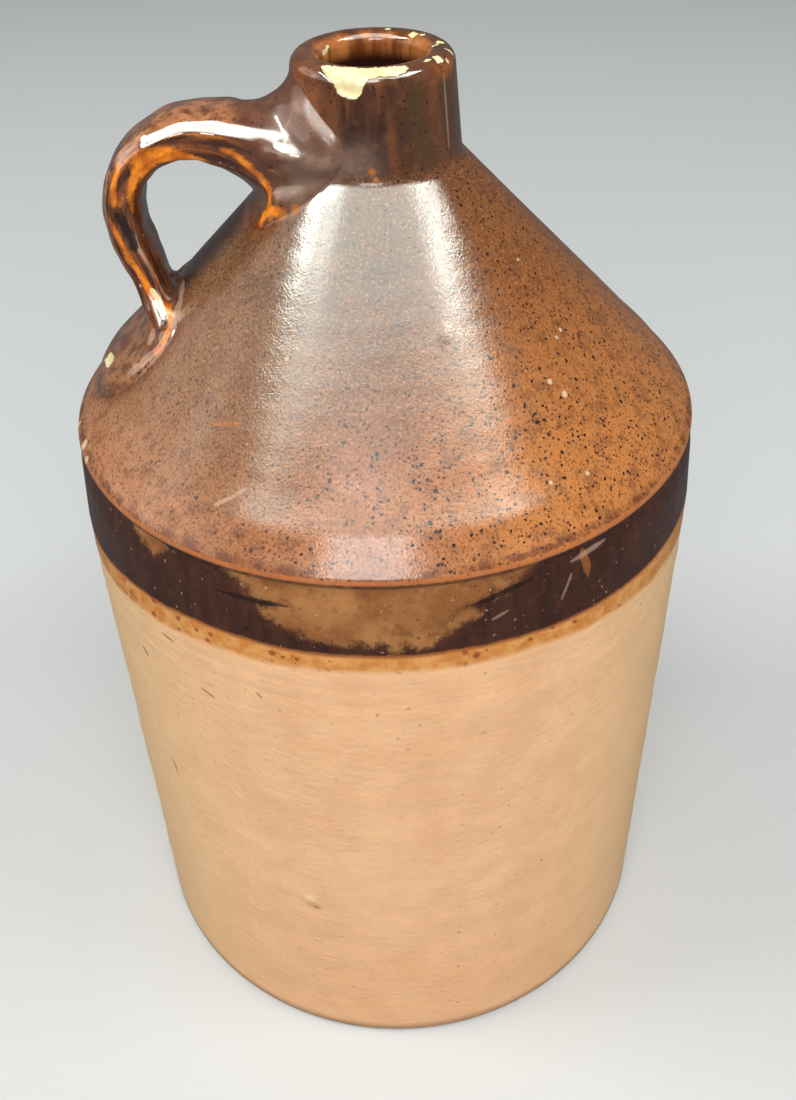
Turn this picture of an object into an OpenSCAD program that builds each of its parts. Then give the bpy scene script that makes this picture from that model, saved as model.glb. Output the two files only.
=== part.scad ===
// Stoneware jug with a strap handle, thrown in one piece with the handle pulled on
// Millimetres, +Z up, origin at the centre of the flat foot, handle toward -X

/* [Body] */
// Overall height of the jug
jug_h = 285.5; // [240:0.5:330]
// Outside radius just above the foot
foot_r = 85.4; // [78:0.2:92]
// Outside radius where the dark glaze ends
wall_r = 86.6; // [79:0.2:93]
// Height of the dark band between its end and the shoulder edge
band_h = 23; // [12:0.5:34]
// Thickness of the thrown wall
wall_t = 7; // [5:0.25:9]
// Thickness of the floor
floor_t = 9; // [6:0.5:14]
// Size of the bevel round the foot
heel = 2; // [0.5:0.25:4]

/* [Shoulder] */
// Outside radius at the lower edge of the cone
shoulder_r = 85; // [78:0.2:91]
// Height of the cone, from its lower edge to the foot of the neck
cone_h = 68; // [58:0.5:78]
// Radius of the rounded edge of the cone
edge_r = 2.4; // [1.5:0.1:3.5]
// Depth of the crease under that edge
crease = 0.7; // [0.4:0.1:1.4]

/* [Neck] */
// Outside radius at the foot of the neck
neck_r = 21.4; // [19.5:0.1:24]
// Height of the neck with its lip
neck_h = 24.5; // [21:0.5:30]
// Radius of the hollow where the neck leaves the cone
fillet_r = 5; // [3:0.5:8]
// Outside radius of the lip
lip_r = 19.7; // [18.5:0.1:22]
// Radius of the rounded top of the lip
lip_round = 3.6; // [2.5:0.1:4.2]
// Radius of the mouth, where the cork goes
mouth_r = 12.5; // [11:0.1:13]

/* [Handle] */
// How far the middle of the strap stands out from the axis
reach = 63.8; // [56:0.2:68]
// Depth of the top limb below the top of the lip
drop = 18.6; // [17:0.2:21]
// Width of the strap
strap_w = 19.5; // [14:0.5:25]
// Thickness of the strap
strap_t = 10; // [7:0.5:12]
// Width of the clay pressed round the neck
root_w = 40; // [32:1:42]
// Height of the clay pressed round the neck
root_t = 27; // [22:0.5:28]
// Distance from the axis to where the strap lands on the cone
land_r = 57; // [53:0.5:60]
// Length of the tail wiped down the cone
tail_len = 36; // [28:1:38]
// Width of that tail
tail_w = 33; // [24:1:38]

/* [Damage] */
// Depth of the glaze and clay lost from the front of the lip
lip_chip = 1.2; // [0.6:0.1:2]
// Depth of the notch at the back of the lip
notch = 1.8; // [0.8:0.1:2.4]
// Depth of the chip at the end of the tail
tail_chip = 2; // [1:0.1:3]

/* [Hidden] */
$fn = 96;
ring_n = 20;
clay = "#8a5230";

// Heights above the foot
neck_z = jug_h - neck_h;
shoulder_z = neck_z - cone_h;
band_z = shoulder_z - band_h;

// Cone between shoulder and neck
cone_fall = cone_h / (shoulder_r - neck_r);
cone_a = atan(cone_fall);
function cone_z(r) = shoulder_z + (shoulder_r - r) * cone_fall;

// Inside of the cone, one wall thickness in along its normal
in_drop = wall_t / cos(cone_a);
throat_z = cone_z(mouth_r) - in_drop;
in_r = shoulder_r - wall_t;
in_z = cone_z(in_r) - in_drop;

// Middle line of the strap: out from the neck, round the bend, down to the cone
top_z = jug_h - drop;
land_z = cone_z(land_r);
fall = top_z - land_z;
span = reach - neck_r;
strap_path = [
    [neck_r - 4.5, top_z - 1.4],
    [neck_r + 1.4, top_z - 2.6],
    [neck_r + 6.6, top_z - 2.4],
    [neck_r + 0.3 * span, top_z - 1],
    [neck_r + 0.42 * span, top_z - 0.2],
    [neck_r + 0.58 * span, top_z],
    [neck_r + 0.75 * span, top_z - 0.05 * fall],
    [neck_r + 0.9 * span, top_z - 0.16 * fall],
    [reach - 0.3, top_z - 0.31 * fall],
    [reach, top_z - 0.49 * fall],
    [reach - 0.25 * (reach - land_r), top_z - 0.66 * fall],
    [reach - 0.6 * (reach - land_r), top_z - 0.84 * fall],
    [land_r, land_z + 0.5],
    [land_r - 3, land_z - 3]
];
strap_size = [
    [root_w * 0.74, root_t],
    [root_w, root_t * 0.92],
    [root_w * 0.78, root_t * 0.7],
    [strap_w * 1.22, (root_t + strap_t) * 0.38],
    [strap_w * 1.06, strap_t * 1.14],
    [strap_w, strap_t * 1.06],
    [strap_w, strap_t * 1.02],
    [strap_w, strap_t],
    [strap_w, strap_t],
    [strap_w, strap_t],
    [strap_w * 0.97, strap_t * 0.92],
    [strap_w * 0.94, strap_t * 0.84],
    [strap_w, strap_t * 0.8],
    [strap_w, strap_t * 0.75]
];

// Middle line of the tail, just under the surface of the cone
function down_cone(s, lift) = [
    land_r - 4 + s * cos(cone_a) + lift * sin(cone_a),
    cone_z(land_r - 4) - s * sin(cone_a) + lift * cos(cone_a)
];
tail_path = [
    down_cone(0, -3),
    down_cone(tail_len * 0.2, -0.6),
    down_cone(tail_len * 0.45, -0.4),
    down_cone(tail_len * 0.7, -1),
    down_cone(tail_len * 0.9, -1.9),
    down_cone(tail_len, -2.7)
];
tail_size = [
    [strap_w * 0.7, 5],
    [strap_w * 0.98, 9.5],
    [tail_w * 0.92, 8.8],
    [tail_w, 7.8],
    [tail_w * 0.86, 6.6],
    [tail_w * 0.5, 5.2]
];

// Smooth run through hand-set stations, with one more between each two
function between(a, b, c, d) = (9 * (b + c) - a - d) / 16;
function smooth(v) =
    let (m = len(v))
    [for (i = [0 : 2 * m - 2])
        let (k = floor(i / 2))
        i % 2 == 0 ? v[k] : between(v[max(k - 1, 0)], v[k], v[k + 1], v[min(k + 2, m - 1)])];

// Sweep of a rounded strap section along a path in the plane of the handle
function dir(path, i) =
    let (a = path[max(i - 1, 0)], b = path[min(i + 1, len(path) - 1)], d = b - a)
    d / norm(d);
function rounded(v, e) = sign(v) * pow(abs(v), e);
function ring(path, size, i) =
    let (d = dir(path, i), n = [-d[1], d[0]])
    [for (k = [0 : ring_n - 1])
        let (a = 360 * (k + 0.5) / ring_n,
             y = size[i][0] / 2 * rounded(cos(a), 0.78),
             t = size[i][1] / 2 * rounded(sin(a), 0.78))
        [-(path[i][0] + n[0] * t), y, path[i][1] + n[1] * t]];

module sweep(path, size) {
    m = len(path);
    points = [for (i = [0 : m - 1]) each ring(path, size, i)];
    sides = [for (i = [0 : m - 2], k = [0 : ring_n - 1], h = [0, 1])
        let (k2 = (k + 1) % ring_n, a = i * ring_n, b = a + ring_n)
        h == 0 ? [a + k, a + k2, b + k2] : [a + k, b + k2, b + k]];
    first = [for (k = [0 : ring_n - 1]) ring_n - 1 - k];
    last = [for (k = [0 : ring_n - 1]) (m - 1) * ring_n + k];
    polyhedron(points, concat([first], sides, [last]), convexity = 4);
}

// Points of an arc round c, from angle a0 to a1
function arc(c, r, a0, a1, n = 8) =
    [for (i = [0 : n]) let (a = a0 + (a1 - a0) * i / n) c + r * [cos(a), sin(a)]];

// Round that joins two straight runs meeting at p, with their directions as angles
function blend(p, r, a_in, a_out) =
    let (half = (180 - abs(a_out - a_in)) / 2,
         side = sign(a_out - a_in),
         mid = p + r / sin(half) * [cos(a_in + 180 - side * half), sin(a_in + 180 - side * half)])
    arc(mid, r, a_in - side * 90, a_out - side * 90);

// Outline of the thrown body in the half plane, solid
cone_up = 180 - cone_a;
neck_up = atan2(jug_h - lip_round - neck_z, lip_r - neck_r);
lip_c = [lip_r - lip_round, jug_h - lip_round];
edge_c = [shoulder_r - edge_r, shoulder_z - edge_r * 0.3];
crease_z = shoulder_z - edge_r * 1.6;
outer_outline = concat(
    [[0, 0], [foot_r - heel, 0], [foot_r, heel], [wall_r, band_z]],
    [[shoulder_r + 0.5, crease_z - 4], [shoulder_r - crease, crease_z]],
    arc(edge_c, edge_r, -50, 90 - cone_a),
    blend([neck_r, neck_z], fillet_r, cone_up, neck_up),
    arc(lip_c, lip_round, 0, 90),
    [[0, jug_h]]
);

// Outline of the hollow inside, open at the mouth
inner_outline = concat(
    [[0, floor_t], [foot_r - wall_t - 8, floor_t]],
    arc([foot_r - wall_t - 8, floor_t + 8], 8, -80, 0, 6),
    [[wall_r - wall_t, band_z], [in_r, in_z], [mouth_r, throat_z]],
    arc([mouth_r + 3.2, jug_h - 3.2], 3.2, 180, 96, 6),
    [[mouth_r + 3.2, jug_h + 1], [0, jug_h + 1]]
);

module handle() {
    difference() {
        union() {
            sweep(smooth(strap_path), smooth(strap_size));
            sweep(smooth(tail_path), smooth(tail_size));
        }
        // chip at the low end of the tail
        end = down_cone(tail_len, 2.4);
        translate([-end[0], tail_w * 0.28, end[1]])
            sphere(r = tail_chip + 1.8);
    }
}

// Chips broken out of the lip: turn round the axis, height round the lip, ball radius, share of the depth
chips = [
    [-106, 18, 6, 1],
    [-119, 46, 8, 0.7],
    [-92, 46, 10, 0.7],
    [-76, 48, 10, 0.6],
    [-35, 50, 3, 1],
    [-13, 36, 3, 0.8]
];
module lip_chips() {
    for (c = chips)
        let (away = lip_round + c[2] - lip_chip * c[3])
            rotate([0, 0, c[0]])
                translate([lip_c[0] + away * cos(c[1]), 0, lip_c[1] + away * sin(c[1])])
                    sphere(r = c[2]);
    rotate([0, 0, 38])
        translate([lip_r - 1.5, 0, jug_h + 1.2])
            sphere(r = notch + 1.2);
}

module jug() {
    color(clay)
        difference() {
            union() {
                rotate_extrude()
                    polygon(outer_outline);
                handle();
            }
            rotate_extrude()
                polygon(inner_outline);
            lip_chips();
        }
}

jug();
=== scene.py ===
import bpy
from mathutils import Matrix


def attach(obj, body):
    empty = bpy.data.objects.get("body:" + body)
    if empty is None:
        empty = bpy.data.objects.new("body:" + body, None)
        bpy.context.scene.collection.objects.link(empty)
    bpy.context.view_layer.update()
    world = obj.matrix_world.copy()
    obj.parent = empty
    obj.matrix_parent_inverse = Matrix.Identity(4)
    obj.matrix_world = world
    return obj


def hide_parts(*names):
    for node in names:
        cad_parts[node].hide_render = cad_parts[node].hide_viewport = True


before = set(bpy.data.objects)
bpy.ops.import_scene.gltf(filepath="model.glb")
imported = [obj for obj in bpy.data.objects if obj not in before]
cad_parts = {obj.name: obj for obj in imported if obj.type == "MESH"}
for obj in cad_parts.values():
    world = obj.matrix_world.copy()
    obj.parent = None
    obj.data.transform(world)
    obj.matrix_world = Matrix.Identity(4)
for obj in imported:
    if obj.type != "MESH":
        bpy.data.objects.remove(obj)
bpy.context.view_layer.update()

import math
from types import SimpleNamespace

import bpy
import numpy as np
from mathutils import Matrix, Vector
from mathutils.geometry import delaunay_2d_cdt

# Shapes are worked out in millimetres and scaled to metres when the mesh is made
MM = 0.001
TAU = 2 * math.pi

# Profile of the thrown body, as distance from the axis and height
FOOT_R, HEEL = 85.4, 2.0
WALL_R, BAND_Z = 86.6, 170.0
JUG_H = 285.5
MOUTH_R = 12.5
CONE_FALL = 1.069
SHOULDER = (85.0, 193.0)
NECK_FOOT = (21.4, 261.0)
LIP_OUT = (16.1, 281.9)
LIP_R = 3.6
LIP_IN = (15.7, 282.3)
LIP_IN_R = 3.2
# Distance given to points with no chip or other marked edge near
FAR = 6.0
# Size of the long soft lumps, and the most that relief stands out from the body
LUMP_SIZE, MOST_RELIEF = 0.02, 0.45


def smoothstep(x, lo, hi):
    t = np.clip((x - lo) / (hi - lo), 0, 1)
    return t * t * (3 - 2 * t)


def plateau(x, a, b, c, d):
    """Rises from 0 to 1 between a and b and falls again between c and d."""
    return smoothstep(x, a, b) * (1 - smoothstep(x, c, d))


def bell(x, half):
    return np.exp(-(x / half) ** 2)


def arc(c, r, a0, a1, n=16):
    a = np.radians(np.linspace(a0, a1, n))
    return np.stack([c[0] + r * np.cos(a), c[1] + r * np.sin(a)], -1)


def neck_fillet(r=5.0):
    a_in = 180 - math.degrees(math.atan(CONE_FALL))
    a_out = math.degrees(math.atan2(LIP_OUT[1] - NECK_FOOT[1], LIP_OUT[0] + LIP_R - NECK_FOOT[0]))
    half = (180 - abs(a_out - a_in)) / 2
    side = math.copysign(1, a_out - a_in)
    b = math.radians(a_in + 180 - side * half)
    reach = r / math.sin(math.radians(half))
    mid = (NECK_FOOT[0] + reach * math.cos(b), NECK_FOOT[1] + reach * math.sin(b))
    return arc(mid, r, a_in - side * 90, a_out - side * 90)


EDGE = arc((82.6, 192.28), 2.4, -50, 43.1)
FILLET = neck_fillet()
HEEL_TOP = (FOOT_R, HEEL)
BAND_FOOT = (WALL_R, 150)
CREASE_TOP = (85.5, 185.2)
CONE_START = (75.36, 203.5)
BORE_TOP = (MOUTH_R, LIP_IN[1])
THROAT = (MOUTH_R, 260.3)
INNER_SHOULDER = (78, 190.2)

# Stretches of the outline with the spacing of the rows along each: from the middle of the base
# up the outside to the lip, and down inside to the floor
STRETCHES = [
    ([(0, 0), (FOOT_R - HEEL, 0)], 9.0),
    (arc((FOOT_R - HEEL, HEEL), HEEL, -90, 0), 0.7),
    ([HEEL_TOP, (85.9, 70), BAND_FOOT], 2.6),
    ([BAND_FOOT, (WALL_R, BAND_Z), CREASE_TOP], 1.1),
    ([CREASE_TOP, (84.3, 189.2), EDGE[0]], 0.6),
    (EDGE, 0.45),
    ([EDGE[-1], CONE_START], 0.9),
    ([CONE_START, FILLET[0]], 1.7),
    (FILLET, 0.6),
    ([FILLET[-1], (LIP_OUT[0] + LIP_R, LIP_OUT[1])], 0.6),
    (arc(LIP_OUT, LIP_R, 0, 90), 0.36),
    (arc(LIP_IN, LIP_IN_R, 90, 180), 0.42),
    ([BORE_TOP, THROAT], 1.2),
    ([THROAT, INNER_SHOULDER], 5.0),
    ([INNER_SHOULDER, (79.6, BAND_Z), (78.4, 17)], 9.0),
    (arc((70.4, 17), 8, 0, -90), 2.5),
    ([(70.4, 9), (0, 9)], 11.0),
]


def along(points):
    """Distance along a line of points, at each of them."""
    points = np.asarray(points, float)
    return np.r_[0, np.cumsum(np.linalg.norm(np.diff(points, axis=0), axis=1))]


def unit(v):
    return v / np.linalg.norm(v, axis=-1, keepdims=True)


def hermite(t, p0, m0, p1, m1):
    """Cubic from p0 to p1 with the slopes m0 and m1 at its ends."""
    return ((2 * t**3 - 3 * t**2 + 1) * p0 + (t**3 - 2 * t**2 + t) * m0
            + (3 * t**2 - 2 * t**3) * p1 + (t**3 - t**2) * m1)


outline = np.concatenate([np.asarray(p, float) for p, _ in STRETCHES])
outline = outline[np.r_[True, np.linalg.norm(np.diff(outline, axis=0), axis=1) > 1e-6]]
outline_s = along(outline)
S_END = outline_s[-1]


def s_near(r, z, lo=0.0, hi=S_END):
    """Distance along the outline, between lo and hi, of its point nearest to r and z."""
    s = np.linspace(lo, hi, 8000)
    d = (np.interp(s, outline_s, outline[:, 0]) - r) ** 2 + (np.interp(s, outline_s, outline[:, 1]) - z) ** 2
    return float(s[np.argmin(d)])


def cone_z(r):
    return SHOULDER[1] + (SHOULDER[0] - r) * CONE_FALL


S_FOOT = s_near(*HEEL_TOP)
S_WALL = s_near(WALL_R, BAND_Z)
S_EDGE = s_near(*EDGE[-1])
S_NECK = s_near(*FILLET[-1])
S_LIP = s_near(LIP_OUT[0] + LIP_R, LIP_OUT[1])
S_TOP = s_near(LIP_OUT[0], JUG_H)
S_BORE = s_near(*BORE_TOP)

# Outline sampled finely, with its normal softened over the corners
fine_s = np.linspace(0, S_END, 15000)
fine_r = np.interp(fine_s, outline_s, outline[:, 0])
fine_z = np.interp(fine_s, outline_s, outline[:, 1])
tangent = np.stack([np.gradient(fine_r), np.gradient(fine_z)], -1)
kernel = np.hanning(25) / np.hanning(25).sum()
tangent = np.stack([np.convolve(np.pad(c, 12, "edge"), kernel, "valid") for c in tangent.T], -1)
tangent /= np.linalg.norm(tangent, axis=1, keepdims=True)
fine_nr, fine_nz = tangent[:, 1], -tangent[:, 0]

# Long soft lumps left by throwing, the same on each run
rng = np.random.default_rng(7)
N_LUMPS = 34
LUMPS = [(int(m), q, p, a) for m, q, p, a in zip(
    rng.integers(0, 9, N_LUMPS), rng.uniform(-0.16, 0.16, N_LUMPS),
    rng.uniform(0, TAU, N_LUMPS), rng.uniform(0.3, 1, N_LUMPS))]

# Dents and small bumps of the wall: angle, distance along the outline, depth, half sizes round and along
DENTS = [
    (-139.8, 231, -0.5, 2.4, 1.2), (-138.9, 185, -0.5, 1.3, 2.6), (-90, 118, 0.25, 9, 5),
    (-75, 205, -0.2, 7, 3), (-125, 120, 0.2, 10, 6), (-52, 170, -0.25, 5, 3), (20, 160, -0.3, 6, 3),
    (75, 130, 0.25, 8, 5), (130, 210, -0.3, 6, 3), (-108.1, 154.4, 0.42, 3.4, 2.0),
    (-108.0, 149.2, -0.5, 3.8, 1.8), (-81, 158, 0.14, 7, 2.0), (-74, 154.6, 0.16, 8, 2.0),
    (-66, 149, 0.16, 8, 2.0), (-57, 139.6, 0.16, 8, 2.2), (-48, 126, 0.14, 8, 3.0), (-70, 140, -0.12, 12, 4.0),
    (-72.2, 333.8, 0.35, 1.3, 1.0), (-98, 205, -0.3, 1.6, 0.8), (-62, 262.4, -0.4, 1.4, 3.0),
]

# Chips broken out of the lip, as an outline of angle and distance along the outline of the body
BIG_CHIP = [
    (-133, 396.7), (-125.8, 394.7), (-121.2, 393.4), (-116.5, 393.1), (-115, 391.4), (-110.9, 390.2),
    (-106.8, 389.9), (-100.8, 389.8), (-98.1, 390.9), (-94.6, 393.9), (-84.4, 394.7), (-76, 394.3),
    (-68.1, 394.8), (-62.8, 395.8), (-65.4, 397.0), (-83.8, 398.1), (-96, 397.6), (-108.9, 398.1),
    (-126.1, 397.5),
]
# Small chips: angle, distance along, half sizes round and along in mm, depth
LIP_CHIPS = [
    (155, 402.2, 2.0, 0.7, 0.5), (146, 401.4, 0.8, 0.5, 0.4), (46, 399.4, 1.7, 1.0, 0.6),
    (36, 398.6, 0.7, 0.6, 0.4), (8, 397.6, 1.2, 1.4, 1.2), (1, 399.0, 0.8, 1.0, 0.8),
    (-32, 395.9, 1.5, 1.4, 0.6), (-24.5, 394.4, 0.5, 0.8, 0.4), (-9, 394.9, 0.5, 1.6, 0.4),
    (-43, 396.7, 1.2, 0.45, 0.3), (75, 398.3, 0.8, 0.6, 0.4),
]
# Radius at which turns round the lip are measured as mm
LIP_MEAN = 18.0

# Painted tan reflection on the band, as outlines of angle and distance along the outline of the body
TAN_REFLECTION = [
    [(-117.6, 276.4), (-114.3, 273.0), (-110.4, 271.3), (-104.1, 270.0), (-110.5, 266.4), (-108.3, 264.0),
     (-104.4, 261.6), (-98.9, 260.4), (-91.9, 259.6), (-84.2, 259.0), (-81.6, 261.1), (-79.4, 263.5),
     (-76.5, 266.1), (-78.7, 268.9), (-75.8, 270.4), (-71.9, 272.1), (-68.4, 273.6), (-65.0, 277.9),
     (-67.8, 277.7), (-71.2, 277.1), (-80.8, 276.9), (-94.6, 277.2), (-107.0, 277.8), (-112.1, 278.0)],
    [(-136.7, 277.4), (-132.2, 277.8), (-129.1, 277.8), (-129.5, 274.9), (-131.1, 271.9), (-133.1, 271.9),
     (-137.5, 274.1)],
]


def polygon_distance(x, y, poly):
    """Distance to a closed outline, negative inside."""
    best = np.full(x.shape, 1e9)
    inside = np.zeros(x.shape, bool)
    n = len(poly)
    for i in range(n):
        (ax, ay), (bx, by) = poly[i], poly[(i + 1) % n]
        ex, ey = bx - ax, by - ay
        t = np.clip(((x - ax) * ex + (y - ay) * ey) / (ex * ex + ey * ey + 1e-12), 0, 1)
        best = np.minimum(best, np.hypot(x - ax - t * ex, y - ay - t * ey))
        crosses = (ay > y) != (by > y)
        with np.errstate(divide="ignore", invalid="ignore"):
            at = ax + (y - ay) / (ey if ey else 1e-12) * ex
        inside ^= crosses & (x < at)
    return np.where(inside, -best, best)


def turn(theta, centre):
    """Angle from centre to theta in radians, between -pi and pi."""
    return (theta - math.radians(centre) + math.pi) % TAU - math.pi


def lip_damage(theta, s):
    """Distance to the nearest chip's edge in mm, negative inside, and the depth lost there."""
    far = np.full(theta.shape, FAR)
    depth = np.zeros(theta.shape)
    near = (s > S_NECK) & (s < S_BORE + 3)
    if not near.any():
        return far, depth
    t, q = theta[near], s[near]
    ragged = 0.16 * np.sin(t * 47 + q * 1.6) + 0.08 * np.sin(t * 71 - q * 2.2 + 1)
    u = turn(t, -100) * LIP_MEAN
    poly = [(turn(math.radians(a), -100) * LIP_MEAN, b) for a, b in BIG_CHIP]
    d = polygon_distance(u, q, poly) + ragged * 0.7
    lost = 1.25 * smoothstep(-d, -0.1, 0.75) * (1 + 0.16 * ragged)
    for a, b, half_u, half_s, deep in LIP_CHIPS:
        r = np.hypot(turn(t, a) * LIP_MEAN / half_u, (q - b) / half_s) - 1 + ragged
        e = r * min(half_u, half_s)
        lost = np.maximum(lost, deep * smoothstep(-e, -0.1, 0.5))
        d = np.minimum(d, e)
    far[near], depth[near] = np.minimum(d, FAR), lost
    return far, depth


def tan_distance(theta, s):
    """Distance to the edge of the painted tan reflection in mm, negative inside."""
    far = np.full(theta.shape, FAR)
    near = (s > S_WALL - 6) & (s < S_EDGE + 6)
    if near.any():
        u = turn(theta[near], -95) * SHOULDER[0]
        for poly in TAN_REFLECTION:
            flat = [(turn(math.radians(a), -95) * SHOULDER[0], b) for a, b in poly]
            far[near] = np.minimum(far[near], polygon_distance(u, s[near], flat))
    return far


def body_point(theta, s):
    """Point of the thrown body in mm, with the unevenness of the real surface, and its base normal."""
    theta, s = np.broadcast_arrays(np.asarray(theta, float), np.asarray(s, float))
    r = np.interp(s, fine_s, fine_r)
    z = np.interp(s, fine_s, fine_z)
    nr = np.interp(s, fine_s, fine_nr)
    nz = np.interp(s, fine_s, fine_nz)
    outer = plateau(s, S_FOOT, S_FOOT + 8, S_TOP + 1, S_BORE)
    lumps = sum(a * np.sin(m * theta + q * s + p) for m, q, p, a in LUMPS) * LUMP_SIZE
    lumps = lumps * np.where(s > S_NECK, 0.5, 1)
    wall = plateau(s, S_FOOT, S_FOOT + 12, S_WALL - 12, S_WALL)
    rings = 0.05 * np.sin(s * 1.05 + 1.3 * np.sin(theta + 0.4)) + 0.05 * np.sin(s * 0.41 + np.sin(2 * theta))
    rings += 0.03 * np.sin(s * 2.3 + 0.8 * np.sin(3 * theta))
    d = outer * lumps + wall * rings
    cone = plateau(s, S_EDGE, S_EDGE + 3, S_NECK - 16, S_NECK - 6)
    d += cone * 0.012 * np.sin(s * 0.9 + np.sin(theta * 2))
    # soft swelling above the shoulder's edge
    d += 0.34 * bell(s - S_EDGE - 9.5, 4.8) * (0.8 + 0.2 * np.sin(theta * 3))
    for a, b, deep, half_u, half_s in DENTS:
        d += deep * bell(turn(theta, a) * r, half_u) * bell(s - b, half_s)
    _, lost = lip_damage(theta, s)
    d -= lost
    d = np.minimum(d, MOST_RELIEF)
    rr, zz = r + nr * d, z + nz * d
    point = np.stack([rr * np.cos(theta), rr * np.sin(theta), zz], -1)
    normal = np.stack([nr * np.cos(theta), nr * np.sin(theta), nz], -1)
    return point, normal


# Handle. Half turn points at -X, and the viewer's side is -Y.
LINES = 96
TURNS = np.arange(LINES) * 360 / LINES


def hermite_run(knots, values, t, period=None):
    """Smooth curve through the values at the knots. With a period it closes on itself."""
    knots, values = np.asarray(knots, float), np.asarray(values, float)
    if period:
        knots = np.r_[knots[-2:] - period, knots, knots[:3] + period]
        values = np.concatenate([values[-2:], values, values[:3]])
    slope = np.gradient(values, knots, axis=0)
    i = np.clip(np.searchsorted(knots, t, "right") - 1, 0, len(knots) - 2)
    h = knots[i + 1] - knots[i]
    u = (t - knots[i]) / h
    shape = (-1,) + (1,) * (values.ndim - 1)
    h, u = h.reshape(shape), u.reshape(shape)
    return hermite(u, values[i], h * slope[i], values[i + 1], h * slope[i + 1])


# Loop where the pressed root meets neck and cone: turn round the section, angle from -X, height.
# The turn is 0 on top of the strap and 90 on its front side.
ROOT_LOOP = [
    (0, 0, 281.5), (18, 20, 281.3), (34, 37, 279.2), (48, 53, 274.8), (62, 66, 270.2), (74, 69, 265.4),
    (86, 61, 260.8), (96, 51.5, 256.8), (106, 41.5, 252.8), (116, 30.5, 248.8), (135, 19, 248.2),
    (158, 9, 249.4), (180, 0, 250.2),
]
# Ring through the fullest part of that clay: turn, place in mm
COLLAR = [
    (0, -26.0, 0, 275.0), (20, -25.6, -5.6, 274.6), (40, -23.6, -10.8, 273.0), (55, -20.6, -15.4, 270.4),
    (70, -17.6, -18.6, 266.6), (84, -19.0, -19.0, 262.6), (95, -22.4, -16.0, 259.4), (105, -25.2, -14.6, 257.6),
    (116, -26.2, -14.0, 256.2), (135, -28.6, -9.6, 254.4), (158, -30.8, -4.6, 253.6), (180, -31.4, 0, 253.6),
]
# Ring just above the foot, where the strap bends and spreads: turn, place in mm
ANKLE = [
    (0, -61.8, 0, 220.6), (20, -61.8, -4.6, 220.5), (40, -61.2, -9.4, 220.4), (60, -59.8, -13.6, 221.0),
    (80, -57.6, -15.8, 222.6), (100, -56.0, -14.0, 224.4), (120, -55.2, -10.0, 226.2),
    (150, -55.0, -5.2, 227.6), (180, -55.2, 0, 228.2),
]
# Loop where the foot and tail meet the cone: turn round the section, angle from -X, radius
FOOT_LOOP = [
    (0, 0, 77.8), (16, 8.0, 77.0), (34, 15.0, 74.2), (52, 19.3, 69.4), (70, 21.4, 64.4), (86, 22.8, 59.6),
    (102, 22.0, 56.2), (120, 16.0, 54.2), (140, 9.5, 54.0), (160, 4.6, 54.2), (180, 0, 54.4),
]


# Height over which the root lies on the neck, and how far the back of a loop sits lower
ROOT_ON_NECK, BACK_DROP = 262.0, 3.6


def loop_params(table, as_height):
    """Closed loop on the body as angle and distance along the outline. The back sits a little lower."""
    rows = []
    for a, side, w in table:
        if as_height and w > ROOT_ON_NECK:
            s = s_near(21.0, w, S_NECK - 3, S_LIP + 2)
        elif as_height:
            s = s_near(SHOULDER[0] - (w - SHOULDER[1]) / CONE_FALL, w, S_EDGE, S_NECK + 1)
        else:
            s = s_near(w, cone_z(w), S_EDGE, S_NECK)
        rows.append((a, side, s))
    turned = lambda a: 2 * min(a, 90) if as_height else 2 * max(a, 90) - 180
    rows += [(360 - a, -side, s - BACK_DROP * math.sin(math.radians(turned(a))) ** 2)
             for a, side, s in reversed(rows[1:-1])]
    rows = np.array(rows)
    got = hermite_run(rows[:, 0], rows[:, 1:], TURNS, 360)
    # the side angle grows from -X toward the viewer, past a half turn
    return math.pi + np.radians(got[:, 0]), got[:, 1]


def closed_ring(table, back):
    """Ring through the places of a table over half a turn.

    back moves the far side, most at 45 degrees where its last entry is true, or else at 135."""
    front = np.array(table, float)
    ring = np.concatenate([front, front[-2:0:-1] * (1, 1, -1, 1)])
    half = len(front)
    ring[half:, 0] = 360 - ring[half:, 0]
    most = 45 if back[3] else 135
    share = bell(360 - ring[half:, 0] - most, 38)[:, None]
    ring[half:, 1:] += share * np.array(back[:3])
    return hermite_run(ring[:, 0], ring[:, 1:], TURNS, 360)


# Stations of the strap: distance from the axis, height, width, thickness
STATIONS = np.array([
    (38.5, 266.8, 21.0, 14.4), (43.8, 267.4, 19.8, 12.6), (49.0, 266.9, 19.6, 11.6), (54.1, 264.7, 19.6, 10.9),
    (58.8, 261.2, 19.3, 10.5), (62.2, 256.2, 19.2, 10.3), (63.8, 250.0, 19.2, 10.2), (63.7, 244.0, 19.2, 10.0),
    (62.3, 238.0, 18.9, 9.6), (61.0, 233.6, 18.6, 9.2),
])

# How steeply the clay leaves the body round the root and the foot, and how far the foot's curve
# reaches, by turn
ROOT_RISE = [(0, 4), (25, 12), (45, 55), (62, 75), (85, 75), (105, 50), (118, 22), (180, 10)]
FOOT_RISE = [(0, 62), (40, 62), (80, 50), (120, 40), (180, 30)]
FOOT_PULL = [(0, 20), (20, 19), (40, 14), (60, 9), (90, 5), (120, 3), (180, 1.5)]


def section(phi, width, thick, power=0.82):
    """Rounded section of the strap, as steps outward and sideways."""
    c, s = np.cos(phi), np.sin(phi)
    return (thick / 2 * np.sign(c) * np.abs(c) ** power, width / 2 * np.sign(s) * np.abs(s) ** power)


def loft(p0, m0, p1, m1, t):
    """Rings between two rings, each line running off one and into the other at the given slopes."""
    return hermite(t[:, None, None], p0, m0, p1, m1)


def inward(loop, normal):
    """Direction in the surface from each point of a loop to its inside."""
    step = np.roll(loop, -1, 0) - np.roll(loop, 1, 0)
    way = unit(np.cross(normal, step))
    if (way * (loop.mean(0) - loop)).sum() < 0:
        way = -way
    return way


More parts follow.
